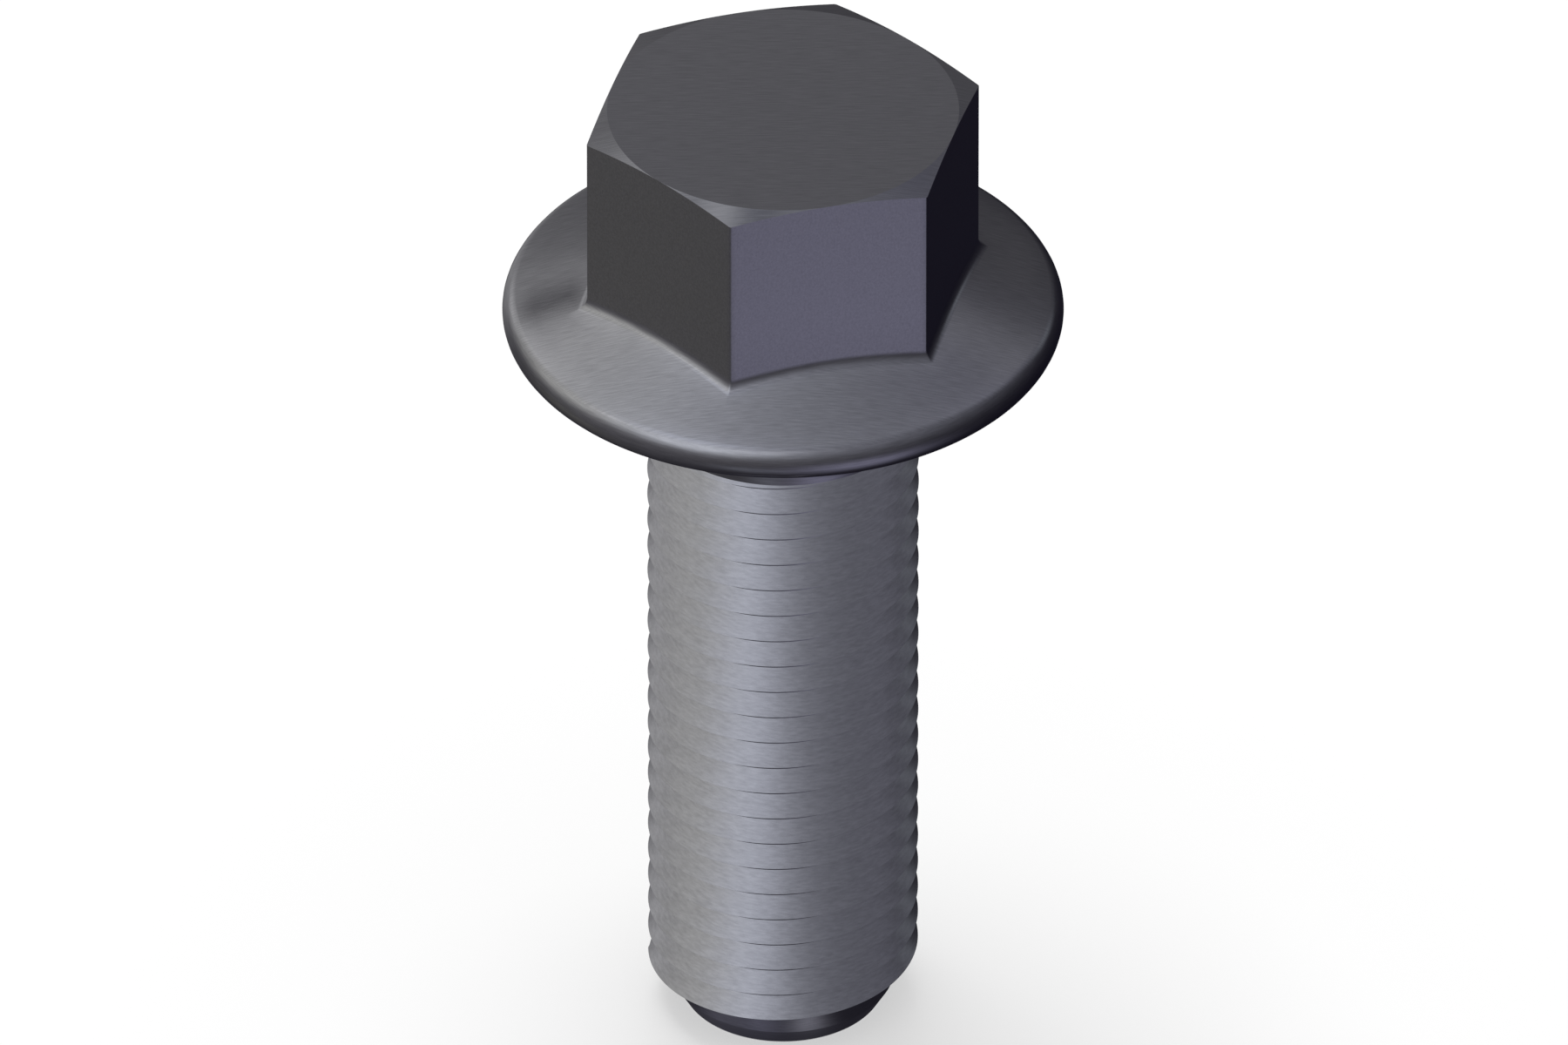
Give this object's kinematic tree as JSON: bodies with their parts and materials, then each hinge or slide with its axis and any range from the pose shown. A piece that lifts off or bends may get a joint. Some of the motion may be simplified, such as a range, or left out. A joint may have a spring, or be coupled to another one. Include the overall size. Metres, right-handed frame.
{
  "type": "flange bolt",
  "caption": "Hexagon head flange bolt with a conical flange, a plain neck, a fine right-hand thread and a chamfered plain point.",
  "frame": {"origin": "centre of the bearing face under the flange, on the bolt's axis", "axes": "+Z along the bolt's axis, up through the head; the shank hangs below the origin; +X through a corner of the hexagon"},
  "size_m": [0.0228, 0.0228, 0.0437],
  "materials": {
    "steel": "plain steel with fine brushed marks"
  },
  "bodies": {
    "root": {"flange_bolt": "steel"}
  },
  "joints": []
}
